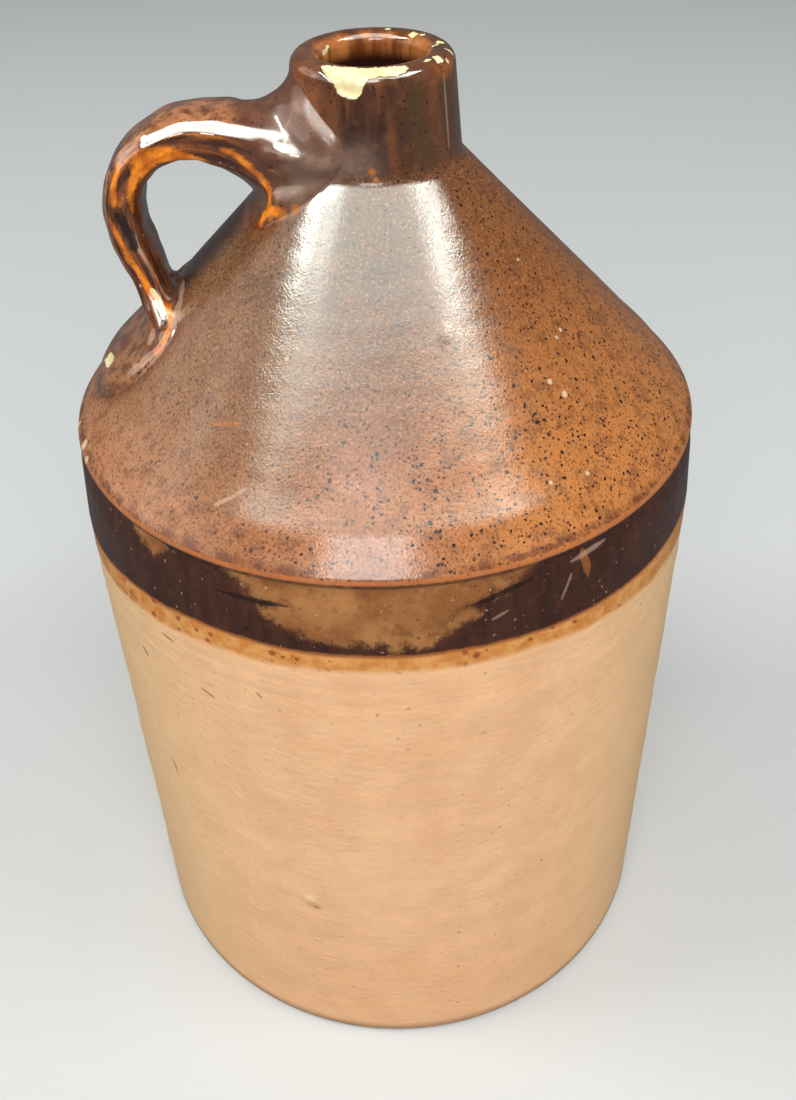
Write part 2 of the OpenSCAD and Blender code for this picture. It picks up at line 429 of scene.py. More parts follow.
def by_turn(table):
    """Value for each line from a table over half a turn, the back the same as the front."""
    turns, values = zip(*table)
    return np.interp(np.minimum(TURNS, 360 - TURNS), turns, values)[:, None]


def gap(a, b):
    """Distance between two rings, line by line."""
    return np.linalg.norm(b - a, axis=1, keepdims=True)


def slope(table, loop, normal):
    """Direction in which each line leaves the body at a loop."""
    rise = np.radians(by_turn(table))
    return np.cos(rise) * inward(loop, normal) + np.sin(rise) * normal


def make_handle():
    """Rings of the handle from its root to its foot, before any ridges."""
    phi = np.radians(TURNS)
    knots = along(STATIONS[:, :2])
    dist = np.linspace(0, knots[-1], 66)
    stations = hermite_run(knots, STATIONS, dist)
    rings = []
    for (rho, z, width, thick), (dr, dz) in zip(stations, unit(np.gradient(stations[:, :2], dist, axis=0))):
        out, side = section(phi, width, thick)
        rings.append(np.stack([-(rho - dz * out), -side, z + dr * out], -1))
    strap = np.array(rings)
    first, last = unit(strap[1] - strap[0]), unit(strap[-1] - strap[-2])

    root_loop, foot_loop = loop_params(ROOT_LOOP, True), loop_params(FOOT_LOOP, False)
    root, root_n = body_point(*root_loop)
    foot, foot_n = body_point(*foot_loop)

    collar = closed_ring(COLLAR, (0.0, -1.0, -3.6, True))
    upper, lower = gap(root, collar), gap(collar, strap[0])
    bend = unit(unit(collar - root) + unit(strap[0] - collar)) * np.minimum(upper, lower)
    leave = slope(ROOT_RISE, root, root_n) * upper * 1.1
    pad = loft(root, leave, collar, bend, np.linspace(0, 1, 26) ** 1.25)
    to_strap = loft(collar, bend, strap[0], first * np.minimum(lower * 0.95, 13), np.linspace(0, 1, 20))
    pad = np.concatenate([pad[:-1], to_strap])

    ankle = closed_ring(ANKLE, (-1.6, 0.6, -2.4, False))
    upper, lower = gap(strap[-1], ankle), gap(ankle, foot)
    bend = unit(unit(ankle - strap[-1]) + unit(foot - ankle)) * np.minimum(upper, lower) * 0.9
    shin = loft(strap[-1], last * upper, ankle, bend, np.linspace(0, 1, 16))
    arrive = -slope(FOOT_RISE, foot, foot_n) * by_turn(FOOT_PULL)
    tail = loft(ankle, bend, foot, arrive, 1 - np.linspace(1, 0, 34) ** 1.2)
    tail = np.concatenate([shin, tail[1:]])

    grid = np.concatenate([pad[:-1], strap, tail[1:]])
    length = np.r_[0, np.cumsum(np.linalg.norm(np.diff(grid, axis=0), axis=2).mean(1))]
    return grid, length, phi, root_loop, foot_loop, len(pad) - 1, len(strap)


# Ridges and grooves pulled into the strap: turn at the root, at the bend and at the foot, half width, height
RIDGES = [
    ((46, 42, 34), 15, 0.18), ((76, 72, 63), 10, 0.55), ((89, 86, 77), 7, -0.4), ((100, 96, 88), 7, 0.32),
    ((107, 103, 98), 8, -0.3), ((121, 117, 114), 10, 0.5), ((310, 312, 318), 13, 0.5),
    ((288, 290, 298), 9, -0.35), ((246, 248, 246), 11, 0.45), ((0, 4, 6), 16, -0.25),
    ((180, 178, 182), 22, -0.35),
]
# Pits and lumps on the handle in mm: line through each, half width, height
MARKS = [
    (((-63.6, -9.5, 248.0), (-62.6, -9.8, 245.5)), 1.3, -0.8),
    (((-62.0, -9.8, 243.0), (-61.6, -9.6, 241.6)), 1.2, -0.6),
    (((-64.6, -9.0, 245.6), (-64.2, -9.2, 243.8)), 0.9, 0.5),
    (((-60.8, -8.8, 247.0), (-60.4, -8.8, 244.6)), 1.0, 0.5),
    (((-21.6, -17.2, 266.6), (-20.2, -17.8, 266.6)), 1.7, 0.6),
    (((-50.0, -2.0, 272.5), (-47.0, -2.0, 273.2)), 2.4, 0.3),
    (((-23.4, -16.2, 267.1), (-18.7, -18.4, 266.3), (-12.9, -20.6, 265.1), (-8.6, -21.6, 264.4)), 1.5, 0.5),
    (((-24.5, -14.8, 261.4), (-17.0, -19.4, 260.0)), 2.6, -0.35),
    (((-23.0, -15.8, 256.0), (-18.0, -19.5, 257.5)), 2.4, 0.45),
    (((-17.6, -8.8, 278.6), (-18.8, -13.0, 273.4), (-20.4, -15.4, 269.6)), 1.6, 0.4),
]
# Dark pitted flaw on the outer limb
FLAW = ((-64.3, -9.2, 250.0), (-62.6, -9.8, 246.2), (-61.4, -9.4, 242.0))

# Strokes along the handle where the glaze ran thin and shows orange: places in mm, half width, strength
ORANGE_STROKES = [
    ([(-57.4, -9.2, 261.5), (-55.6, -9.6, 263.6), (-53.0, -9.8, 264.8), (-50.1, -9.8, 265.0),
      (-45.8, -8.7, 263.8), (-42, -8, 262.6)], 2.0, 1.0),
    ([(-36.5, -11.6, 266.2), (-34.1, -12.1, 265.7), (-31, -12.7, 263.2), (-28.4, -13.4, 260.9),
      (-26.4, -14, 258.7), (-25.8, -14.3, 257), (-26.0, -15, 255), (-26.3, -15.9, 252.9),
      (-28.6, -15.9, 249.4)], 1.0, 1.0),
    ([(-24.6, -17.2, 252.8), (-25.4, -16.6, 252.6)], 1.5, 1.0),
    ([(-62.0, -8.6, 262.2), (-63.7, -9.2, 257.7), (-64.4, -9.8, 254.2), (-64.8, -9.6, 251.0)], 0.9, 0.85),
    ([(-65.7, -9, 250.3), (-64.8, -9.6, 245), (-63.1, -9.3, 237.7), (-59.6, -9.9, 230.4),
      (-57, -11.5, 226.5)], 1.0, 0.95),
    ([(-57.4, -9.2, 261.5), (-58.9, -9.5, 258.6), (-59.7, -9.5, 256.4), (-60.3, -8.6, 250.9)], 1.2, 0.8),
    ([(-60.9, -9.0, 247.0), (-59.8, -8.6, 241.5), (-57.9, -8.2, 234.5), (-55.9, -8.6, 229.0)], 0.8, 0.7),
    ([(-57, -11.5, 226.5), (-55.1, -12, 225.6), (-53.5, -16.8, 225), (-54.1, -19.8, 223.2),
      (-55.4, -21.9, 221.2), (-56.8, -22.7, 219.4)], 1.3, 1.0),
]
# Painted highlights along the handle's edges and ridges, and pale smears on it
HIGHLIGHT_AND_PALE_STROKES = [
    ([(-65.5, -6.0, 259.9), (-66.1, -8.2, 256.2), (-67, -8.1, 251), (-67.1, -8.2, 247.3),
      (-66.6, -8.4, 243.5)], 0.6, 0.8),
    ([(-61.2, -9, 244.6), (-60.6, -8.7, 240.9), (-59.2, -8.4, 237.4), (-57.2, -8.2, 232.3),
      (-54.9, -8.9, 226.6)], 0.6, 1.0),
    ([(-61.2, -9.7, 223.5), (-60.1, -12.3, 221)], 1.4, 0.6),
    ([(-72.5, -13.6, 208.5), (-70.9, -18.2, 208.4), (-70.6, -20.2, 206.9)], 0.8, 0.9),
    ([(-62.3, -23.4, 213.3), (-58.4, -23.5, 216.8), (-54.3, -22.7, 221.4)], 0.5, 0.7),
    ([(-23.3, -17.1, 267.4), (-18.6, -19.1, 266.6), (-12.9, -21.1, 265.3), (-10.4, -21.6, 264.8)], 0.55, 0.9),
    ([(-22.6, -17.7, 266.7), (-19.2, -18.8, 267.0)], 1.5, 0.75),
    ([(-53.0, -14.6, 226.4), (-52.2, -19.0, 225.2), (-52.8, -21.4, 223.0)], 1.1, 0.8),
]
# Chips out of the handle: ends of each in mm, half width, depth
HANDLE_CHIPS = [
    (((-58.5, -10.3, 229.6), (-57.2, -10.9, 228.0)), 0.8, 0.5),
    (((-74.9, -4.8, 208.0), (-73.0, -9.8, 209.0)), 1.7, 0.7),
]


def stroke_distance(points, line):
    """Distance from each point to a line through places."""
    line = np.array(line, float)
    best = np.full(points.shape[:-1], 1e9)
    for a, b in zip(line[:-1], line[1:]):
        way = b - a
        t = np.clip(((points - a) @ way) / (way @ way), 0, 1)
        best = np.minimum(best, np.linalg.norm(points - a - t[..., None] * way, axis=-1))
    return best


def grid_normals(grid):
    du = np.gradient(grid, axis=0)
    dv = np.roll(grid, -1, 1) - np.roll(grid, 1, 1)
    n = np.cross(dv, du)
    n /= np.linalg.norm(n, axis=2, keepdims=True) + 1e-12
    return n


def dress_handle(grid, length, phi, n_pad, n_strap):
    """Moves the smooth handle's points to the ridges of the pulled clay, and gives wear and painted highlights
    along them.
    """
    total = length[-1]
    turns = np.degrees(phi)[None, :]
    where = length[:, None]
    a, b = length[n_pad], length[n_pad + n_strap - 1]
    run = np.clip((where - a) / (b - a), 0, 1)
    fade = plateau(where, a - 16, a + 3, total - 9, total - 0.5)
    lift = np.zeros(grid.shape[:2])
    wear = np.zeros(grid.shape[:2])
    for (t0, t1, t2), half, height in RIDGES:
        mid = np.where(run < 0.5, t0 + (t1 - t0) * run * 2, t1 + (t2 - t1) * (run * 2 - 1))
        mid = mid + 2.5 * np.sin(where * 0.19 + t0) + 1.2 * np.sin(where * 0.53 + t0 * 2)
        off = (turns - mid + 180) % 360 - 180
        lift += height * bell(off, half) * (0.85 + 0.25 * np.sin(where * 0.31 + t0 * 3))
        if height > 0.3:
            wear = np.maximum(wear, bell(off, half * 0.75))
    lift += 0.1 * np.sin(where * 0.45 + 2 * phi[None, :]) + 0.07 * np.sin(where * 0.9 - 3 * phi[None, :])
    lift *= fade
    ends = plateau(where, 0.5, 3.5, total - 4, total - 0.5)
    for line, half, height in MARKS:
        lift += height * bell(stroke_distance(grid, line), half) * ends
    bare = np.full(grid.shape[:2], FAR)
    tips = plateau(where, 0, 2, total - 2, total)
    for line, half, deep in HANDLE_CHIPS:
        off = stroke_distance(grid, line) - half
        bare = np.minimum(bare, off)
        lift -= deep * smoothstep(-off, -0.1, 0.8) * tips
    n = grid_normals(grid)
    centre = grid.mean(1, keepdims=True)
    if (n * (grid - centre)).sum() < 0:
        n = -n
    out = grid + n * lift[..., None]
    out[0], out[-1] = grid[0], grid[-1]
    wear *= 0.42 * fade * (where > length[n_pad] - 6)
    shades = [wear, np.zeros(grid.shape[:2])]
    for k, table in enumerate((ORANGE_STROKES, HIGHLIGHT_AND_PALE_STROKES)):
        for line, half, strength in table:
            off = stroke_distance(grid, line)
            shades[k] = np.maximum(shades[k], strength * (1 - smoothstep(off, half * 0.3, half * 1.7)))
    shades[0] -= 1.6 * bell(stroke_distance(grid, FLAW), 1.7)
    return out, bare, shades[0], shades[1]


# Body surface: an even grid, with two finer windows round the ends of the handle
COLS = 240
HALF_COL = COLS // 2
# Height of a row of fine triangles and clear space along their borders, as shares of their spacing
ROW_STEP, CLEAR = 0.87, 0.55
# Distance over which the pooled glaze round the handle's ends fades
POOL_FADE = 4.0


def body_rows():
    """Places of the rows along the outline. Where two stretches meet there is one row."""
    rows = [0.0]
    for points, spacing in STRETCHES:
        size, start = along(points)[-1], rows[-1]
        n = max(1, int(round(size / spacing)))
        rows += [start + size * (i + 1) / n for i in range(n)]
    return np.array(rows)


def window(rows, lo, hi, half_cols, loop, step):
    """Fine triangles for a window of the grid around a loop.

    Returns the new points as angle and distance along the outline, the triangles, and the border as
    rows and columns of the grid. The triangles count the border first, then the loop, then the new points."""
    v_fine = np.cumsum(np.r_[0, np.diff(fine_s) / np.maximum(fine_r[1:], 1.0)])
    to_v = lambda s: np.interp(s, fine_s, v_fine)
    to_s = lambda v: np.interp(v, v_fine, fine_s)
    c0, c1 = HALF_COL - half_cols, HALF_COL + half_cols
    border = ([(lo, c) for c in range(c0, c1)] + [(r, c1) for r in range(lo, hi)]
              + [(hi, c) for c in range(c1, c0, -1)] + [(r, c0) for r in range(hi, lo, -1)])
    edge = np.array([(c * TAU / COLS, to_v(rows[r])) for r, c in border])
    ring = np.stack([loop[0], to_v(loop[1])], -1)
    free = []
    v, odd = edge[:, 1].min(), False
    while v < edge[:, 1].max():
        t = np.arange(edge[:, 0].min() + (step / 2 if odd else step), edge[:, 0].max(), step)
        free.append(np.stack([t, np.full(t.shape, v), np.full(t.shape, step)], -1))
        v, odd = v + step * ROW_STEP, not odd
    free = np.concatenate(free)
    keep = (polygon_distance(free[:, 0], free[:, 1], edge) < -CLEAR * free[:, 2])
    keep &= (polygon_distance(free[:, 0], free[:, 1], ring) > CLEAR * free[:, 2])
    free = free[keep]
    points = np.concatenate([edge, ring, free[:, :2]])
    ne, nr = len(edge), len(ring)
    sides = [(i, (i + 1) % ne) for i in range(ne)] + [(ne + i, ne + (i + 1) % nr) for i in range(nr)]
    _, _, faces, origin, _, _ = delaunay_2d_cdt([Vector(p) for p in points], sides, [], 0, 1e-9)
    first = [min(o) for o in origin]
    tri = np.array([[first[i] for i in f] for f in faces])
    mid = points[tri].mean(1)
    tri = tri[polygon_distance(mid[:, 0], mid[:, 1], ring) > 0]
    return free[:, 0], to_s(free[:, 1]), tri, border


def nearness(points, loops):
    """How near body points are to the ends of the handle, for the glaze that gathers round them."""
    near = np.zeros(len(points))
    body = np.where((points[:, 2] > 190) & (points[:, 0] < 10))[0]
    for part in np.array_split(body, 40):
        off = np.linalg.norm(points[part][:, None] - loops[None, ::2], axis=2).min(1)
        near[part] = np.exp(-off / POOL_FADE)
    return near


def build_jug():
    """Points in mm, faces, and the marks that the glaze reads at each point."""
    rows = body_rows()
    n_rows = len(rows)
    theta = np.arange(COLS) * TAU / COLS
    inner = rows[1:-1]
    grid, _ = body_point(theta[None, :], inner[:, None])
    handle, length, phi, root, foot, n_pad, n_strap = make_handle()
    handle, bare, wear, pale = dress_handle(handle, length, phi, n_pad, n_strap)
    m, n = handle.shape[:2]

    # points in order: the two poles, the grid, the handle, then those of each window
    flat_t, flat_s = np.tile(theta, len(inner)), np.repeat(inner, COLS)
    poles = np.array([[0, 0, outline[0, 1]], [0, 0, outline[-1, 1]]])
    points = [poles, grid.reshape(-1, 3), handle.reshape(-1, 3)]
    chips = [np.full(2, FAR), lip_damage(flat_t, flat_s)[0], bare.ravel()]
    tans = [np.full(2, FAR), tan_distance(flat_t, flat_s), np.full(m * n, FAR)]
    handle_at = 2 + len(flat_t)
    count = handle_at + m * n
    at = lambda row, col: 2 + (row - 1) * COLS + col % COLS
    on = lambda ring, line: handle_at + ring * n + line % n

    nearest = lambda s: int(np.argmin(np.abs(rows - s)))
    by_cone = lambda r: nearest(s_near(r, cone_z(r)))
    # windows round root and foot: first and last row, half width in columns, loop, spacing, ring of the handle
    windows = [(by_cone(38), nearest(S_LIP + 1.6), 54, root, 0.0275, 0),
               (by_cone(81), by_cone(46.5), 22, foot, 0.016, m - 1)]
    in_window = lambda row, col: any(
        lo <= row < hi and abs(col + 0.5 - HALF_COL) < w for lo, hi, w, *_ in windows)
    faces = [(at(r, c), at(r, c + 1), at(r + 1, c + 1), at(r + 1, c))
             for r in range(1, n_rows - 2) for c in range(COLS) if not in_window(r, c)]
    faces += [(on(a, b), on(a + 1, b), on(a + 1, b + 1), on(a, b + 1)) for a in range(m - 1) for b in range(n)]
    faces += [(0, at(1, c + 1), at(1, c)) for c in range(COLS)]
    faces += [(1, at(n_rows - 2, c), at(n_rows - 2, c + 1)) for c in range(COLS)]

    for lo, hi, w, loop, step, ring in windows:
        t, s, tri, border = window(rows, lo, hi, w, loop, step)
        numbers = np.array([at(r, c) for r, c in border] + [on(ring, b) for b in range(n)]
                           + list(range(count, count + len(t))))
        faces += numbers[tri].tolist()
        points.append(body_point(t, s)[0])
        chips.append(lip_damage(t, s)[0])
        tans.append(tan_distance(t, s))
        count += len(t)
    points = np.concatenate(points)

    marks = {"chip": np.concatenate(chips), "tan": np.concatenate(tans)}
    own = slice(handle_at, handle_at + m * n)
    for name, values in (("handle", 1), ("wear", wear.ravel()), ("pale", pale.ravel())):
        marks[name] = np.zeros(count)
        marks[name][own] = values
    marks["near"] = nearness(points, np.concatenate([handle[0], handle[-1]]))
    marks["near"][own] = 1
    turns = np.broadcast_to(phi, (m, n))
    marks["strap"] = np.zeros((count, 3))
    marks["strap"][own] = np.stack(
        [np.broadcast_to(length[:, None], (m, n)), np.cos(turns) * 8, np.sin(turns) * 8], -1).reshape(-1, 3)
    return points, faces, marks


def new_object(name, data):
    made = bpy.data.objects.new(name, data)
    bpy.context.scene.collection.objects.link(made)
    return made


points, faces, marks = build_jug()
mesh = bpy.data.meshes.new("stoneware_jug")
mesh.from_pydata((points * MM).tolist(), [], faces)
mesh.update()
for name, values in marks.items():
    kind = "FLOAT_VECTOR" if values.ndim == 2 else "FLOAT"
    layer = mesh.attributes.new(name, kind, "POINT")
    layer.data.foreach_set("vector" if values.ndim == 2 else "value", values.astype(np.float32).ravel())
mesh.shade_smooth()
jug = new_object("stoneware_jug", mesh)


# Materials, with all places in the object's own mm


class Shader:
    """Node tree round one shader. Each method adds nodes and returns the socket of the result."""

    def __init__(self, name):
        self.mat = bpy.data.materials.new(name)
        self.mat.use_nodes = True
        self.nodes = self.mat.node_tree.nodes
        self.links = self.mat.node_tree.links
        self.nodes.clear()
        out = self.nodes.new("ShaderNodeOutputMaterial")
        self.bsdf = self.nodes.new("ShaderNodeBsdfPrincipled")
        self.links.new(self.bsdf.outputs[0], out.inputs[0])

    def fill(self, node, values):
        """Links or sets the inputs of a node, given by number or name."""
        for key, value in values.items():
            socket = node.inputs[key]
            if isinstance(value, bpy.types.NodeSocket):
                self.links.new(value, socket)
            elif isinstance(value, (tuple, list)) and len(value) == 3 and socket.type == "RGBA":
                socket.default_value = (*value, 1)
            else:
                socket.default_value = value

    def add(self, kind, values, **props):
        node = self.nodes.new("ShaderNode" + kind)
        for key, value in props.items():
            setattr(node, key, value)
        self.fill(node, values)
        return node.outputs

    def math(self, op, a, b=0.0, c=0.0, clamp=False):
        return self.add("Math", {0: a, 1: b, 2: c}, operation=op, use_clamp=clamp)[0]

    def mul(self, a, *more):
        for b in more:
            a = self.math("MULTIPLY", a, b)
        return a

    def plus(self, a, *more):
        for b in more:
            a = self.math("ADD", a, b)
        return a

    def either(self, a, *more):
        for b in more:
            a = self.math("MAXIMUM", a, b)
        return a

    def vec(self, op, a, b=None):
        """Sum with vectors. For SCALE, b is a number, and LENGTH takes only a."""
        values = {0: a} if b is None else {0: a, "Scale" if op == "SCALE" else 1: b}
        out = self.add("VectorMath", values, operation=op)
        return out["Value"] if op in ("LENGTH", "DOT_PRODUCT", "DISTANCE") else out[0]

    def split(self, v):
        return self.add("SeparateXYZ", {0: v})

    def step(self, x, lo, hi, a=0.0, b=1.0):
        """Smooth step of x, from a at lo to b at hi."""
        return self.add("MapRange", {0: x, 1: lo, 2: hi, 3: a, 4: b}, interpolation_type="SMOOTHSTEP")[0]

    def between(self, x, a, b, c, d):
        """Mask that rises from a to b and falls again from c to d."""
        return self.mul(self.step(x, a, b), self.step(x, d, c))

    def ragged(self, v, width):
        """Noise v made to swing about zero, over a width."""
        return self.mul(self.math("SUBTRACT", v, 0.5), width)

    def mix(self, f, a, b):
        return self.add("Mix", {0: f, 6: a, 7: b}, data_type="RGBA")[2]

    def ramp(self, x, lo, hi, a, b):
        """Colour that goes from a at lo to b at hi."""
        return self.mix(self.step(x, lo, hi), a, b)

    def layers(self, base, *coats):
        """Colour of base with coats laid over it, each given as its mask and colour."""
        for mask, colour in coats:
            base = self.mix(mask, base, colour)
        return base

    def lerp(self, f, a, b):
        return self.add("Mix", {0: f, 2: a, 3: b}, data_type="FLOAT")[0]

    def noise(self, v, scale, detail, rough):
        """Noise, as a number and as a colour."""
        return self.add("TexNoise", {"Vector": v, "Scale": scale, "Detail": detail, "Roughness": rough})

    def speck_cells(self, v, pitch):
        """Distance to the middle of the nearest cell in mm, and three random numbers for that cell."""
        distance, colour, *_ = self.add("TexVoronoi", {"Vector": v, "Scale": 1.0 / pitch})
        return self.mul(distance, pitch), self.add("SeparateColor", {0: colour})

    def speck(self, cells, size, share, strength=1.0):
        """Round specks up to size mm in radius, in a share of the cells."""
        d, (pick, grow, _) = cells
        radius = self.math("MULTIPLY_ADD", grow, size * 0.7, size * 0.3)
        dot = self.step(self.math("DIVIDE", d, radius), 1.15, 0.7)
        return self.mul(dot, self.math("LESS_THAN", pick, share), strength)

    def spot(self, v, place, radius, soft=0.25):
        d = self.vec("DISTANCE", v, place)
        return self.step(d, radius * (1 + soft), radius * (1 - soft))

    def scratch(self, v, a, b, half, soft=0.5):
        """Mark along the line from a to b, fading out at its ends."""
        a, b = Vector(a), Vector(b)
        way = b - a
        pa = self.vec("SUBTRACT", v, tuple(a))
        h = self.math("DIVIDE", self.vec("DOT_PRODUCT", pa, tuple(way)), way.length_squared, clamp=True)
        d = self.vec("LENGTH", self.vec("SUBTRACT", pa, self.vec("SCALE", tuple(way), h)))
        thin = self.mul(half, self.step(self.math("ABSOLUTE", self.math("SUBTRACT", h, 0.5)), 0.5, 0.2))
        return self.step(self.math("SUBTRACT", d, thin), soft, 0.0)

    def attr(self, name):
        """Mark of the mesh, as a number and as a vector."""
        out = self.add("Attribute", {}, attribute_name=name)
        return out["Fac"], out["Vector"]


def on_body(theta, s):
    """Place in mm of a point of the body, from its angle and distance along the outline."""
    p, _ = body_point(np.array([math.radians(theta)]), np.array([s]))
    return tuple(float(c) for c in p[0])


# Marks on the body as angle and distance along the outline, each with its radius in mm
PALE_SPOTS = [
    (-36.2, 323.7, 0.55), (-39.2, 322.8, 0.45), (-48.8, 314.8, 0.7), (-46.8, 310.5, 0.8), (-59.3, 293.3, 0.5),
    (-51.3, 291.5, 0.5), (-33.5, 343.4, 0.4), (-115.7, 327.6, 0.5), (-113.5, 330.4, 0.45), (-169.2, 278.7, 0.9),
    (-161.1, 279.7, 1.4), (-157.0, 278.6, 1.1),
]
RUST_SPOTS = [
    (-92.6, 373.4, 0.8), (-90.4, 371.6, 0.6), (-140.5, 359.6, 1.5), (-134.2, 361.9, 1.2), (-146.0, 357.5, 0.9),
]
PALE_LINES = [
    ((-121.3, 290.3), (-118.9, 292.9), 0.16), ((-118.9, 292.9), (-116.4, 296.0), 0.14),
    ((-59.8, 272.4), (-52.4, 273.6), 0.45), ((-61.6, 262.6), (-60.0, 269.2), 0.12),
    ((-74.0, 263.4), (-71.6, 264.8), 0.15), ((-177.5, 326.6), (-166.8, 325.6), 1.0),
    ((-170.0, 326.2), (-159.0, 320.4), 1.2), ((-34.5, 392.1), (-34.3, 375.3), 0.1),
]
RUST_LINES = [((-128.8, 307.7), (-122.3, 309.9), 0.3), ((-57.6, 276.0), (-56.4, 266.0), 0.9)]
DARK_LINES = [
    ((-132.7, 244.7), (-129.9, 244.1), 0.15), ((-141.1, 231.4), (-139.5, 229.0), 0.3),
    ((-124.9, 231.8), (-122.2, 230.4), 0.1), ((-113.2, 238.2), (-112.4, 237.0), 0.05),
    ((-139.4, 187.5), (-138.3, 183.0), 0.3), ((-107.4, 149.6), (-106.6, 149.2), 0.3),
    ((-119.0, 268.9), (-106.2, 269.3), 0.6), ((-77.4, 268.8), (-67.0, 272.0), 0.6),
]


def shared(g):
    """Places, marks of the mesh and noises that several zones of the glaze use."""
    n = SimpleNamespace()
    n.mm = g.vec("SCALE", g.add("TexCoord", {})["Object"], 1 / MM)
    n.x, n.y, n.z = g.split(n.mm)
    n.rho = g.math("SQRT", g.plus(g.mul(n.x, n.x), g.mul(n.y, n.y)))
    n.side = g.mul(n.x, 1 / 75)
    for name in ("handle", "near", "wear", "pale", "chip", "tan"):
        setattr(n, name, g.attr(name)[0])
    strap = g.attr("strap")[1]
    n.strap_length, n.strap_top, _ = g.split(strap)
    n.broad = g.noise(n.mm, 0.018, 2, 0.5)[0]
    n.mottle = g.noise(n.mm, 0.075, 3, 0.6)[0]
    n.patch, patch_colour = g.noise(n.mm, 0.24, 3, 0.62)
    n.grain = g.noise(n.mm, 1.5, 1, 0.6)[0]
    n.streak = g.noise(g.vec("MULTIPLY", n.mm, (1, 1, 0.14)), 0.2, 3, 0.6)[0]
    n.pulled = g.noise(g.vec("MULTIPLY", strap, (0.16, 1, 1)), 0.5, 2, 0.6)[0]
    n.thrown = g.noise(g.vec("MULTIPLY", n.mm, (0.18, 0.18, 0.9)), 0.55, 2, 0.6)[0]
    warped = g.vec("ADD", n.mm, g.vec("SCALE", patch_colour, 2.2))
    n.small = g.speck_cells(warped, 1.15)
    n.large = g.speck_cells(g.vec("ADD", warped, (31, 7, 3)), 2.7)
    n.dots = g.either(g.speck(n.small, 0.46, 0.62), g.speck(n.large, 0.62, 0.55))
    return n


def cream_body(g, n):
    """Satin cream body with its grit, a painted highlight on one bump over a hollow with painted shade, darker
    toward the bottom, and painted shade along the lower edge of the foot.
    """
    # painted highlight on top of one bump of the wall, and painted shade in the hollow under it
    painted_bump_highlight = g.spot(n.mm, on_body(-108, 154.6), 1.8, 0.7)
    hollow = g.spot(n.mm, on_body(-107.6, 150.2), 2, 0.7)
    return g.layers(
        g.ramp(n.mottle, 0.3, 0.7, (0.79, 0.44, 0.225), (0.87, 0.505, 0.27)),
        (g.step(n.z, 95, 15, 0, 0.35), (0.7, 0.36, 0.165)),
        (g.step(g.math("ABSOLUTE", n.side), 0.45, 1.1, 0, 0.75), (0.8, 0.525, 0.265)),
        (g.step(n.thrown, 0.5, 0.78, 0, 0.13), (0.62, 0.34, 0.17)),
        (g.step(n.patch, 0.6, 0.8, 0, 0.16), (0.6, 0.33, 0.16)),
        (g.speck(n.large, 0.5, 0.3, 0.6), (0.34, 0.17, 0.08)),
        # painted shade in the hollow and painted highlight on the bump above it
        (g.mul(hollow, 0.4), (0.42, 0.21, 0.1)),
        (g.mul(painted_bump_highlight, 0.7), (0.9, 0.62, 0.38)),
        # painted shade along the lower edge of the foot
        (g.step(n.z, 6, 0.5, 0, 0.75), (0.2, 0.11, 0.06)))


def ochre_stripe(g, n):
    """Ochre stripe between body and band."""
    return g.layers(
        g.ramp(n.patch, 0.35, 0.65, (0.61, 0.215, 0.038), (0.74, 0.345, 0.098)),
        (g.speck(n.large, 1.1, 0.5, 0.85), (0.28, 0.06, 0.01)),
        (g.step(n.grain, 0.5, 0.25, 0, 0.4), (0.44, 0.15, 0.03)))


def dark_band(g, n):
    """Dark band under the shoulder, with a painted tan reflection at its front."""
    # colours of the painted tan reflection at the band's front
    tan = g.layers(
        g.ramp(n.mottle, 0.35, 0.65, (0.25, 0.092, 0.026), (0.4, 0.175, 0.058)),
        (g.step(n.patch, 0.5, 0.7, 0, 0.6), (0.15, 0.05, 0.017)),
        (g.step(n.grain, 0.5, 0.75, 0, 0.3), (0.42, 0.21, 0.085)))
    # painted reflection: where the tan patch lies on the band
    is_tan = g.step(g.plus(n.tan, g.plus(g.ragged(n.grain, 3), g.ragged(n.patch, 7.5))), 2.2, -1.4)
    return g.layers(
        g.ramp(n.streak, 0.35, 0.7, (0.04, 0.014, 0.009), (0.066, 0.023, 0.013)),
        (g.step(n.patch, 0.5, 0.7, 0, 0.6), (0.095, 0.03, 0.014)),
        (is_tan, tan),
        (g.speck(n.small, 0.4, 0.07, 0.5), (0.55, 0.36, 0.24)),
        (g.speck(n.large, 0.8, 0.16, 0.6), (0.01, 0.005, 0.005)))


def rust_cone(g, n):
    """Rust brown cone with dark specks, darker toward the neck, warmer and lighter toward its right side, and
    with a painted sheen toward its left side.
    """
    low = g.step(n.z, 245, 200)
    by_mottle = g.step(n.mottle, 0.3, 0.72)
    high_brown = g.mix(by_mottle, (0.07, 0.032, 0.017), (0.125, 0.056, 0.028))
    low_brown = g.mix(by_mottle, (0.3, 0.105, 0.04), (0.41, 0.162, 0.068))
    left = g.mul(g.step(n.x, -8, -34), g.step(n.z, 196, 214))
    crowd = g.plus(g.mul(n.x, 0.004), g.plus(n.broad, g.mul(n.mottle, 0.4)))
    return g.layers(
        g.mix(low, high_brown, low_brown),
        # painted sheen: lighter, greyer colour toward the far left side
        (g.step(n.side, -0.45, -1, 0, 0.6), (0.56, 0.25, 0.125)),
        (g.step(n.side, -0.05, 0.55, 0, 0.8), g.mix(low, (0.35, 0.118, 0.028), (0.6, 0.215, 0.05))),
        # greyer tone on the upper left, lightened in part as a painted sheen
        (g.mul(left, g.step(n.mottle, 0.3, 0.6, 0.35, 0.85)), (0.25, 0.125, 0.06)),
        (g.step(n.patch, 0.44, 0.68, 0, 0.55), (0.15, 0.05, 0.019)),
        (g.step(n.grain, 0.5, 0.8, 0, 0.5), (0.52, 0.25, 0.12)),
        (g.step(n.grain, 0.48, 0.28, 0, 0.75), (0.1, 0.036, 0.018)),
        (g.mul(n.dots, g.step(crowd, 0.45, 0.85, 0.55, 1)), (0.02, 0.01, 0.01)))


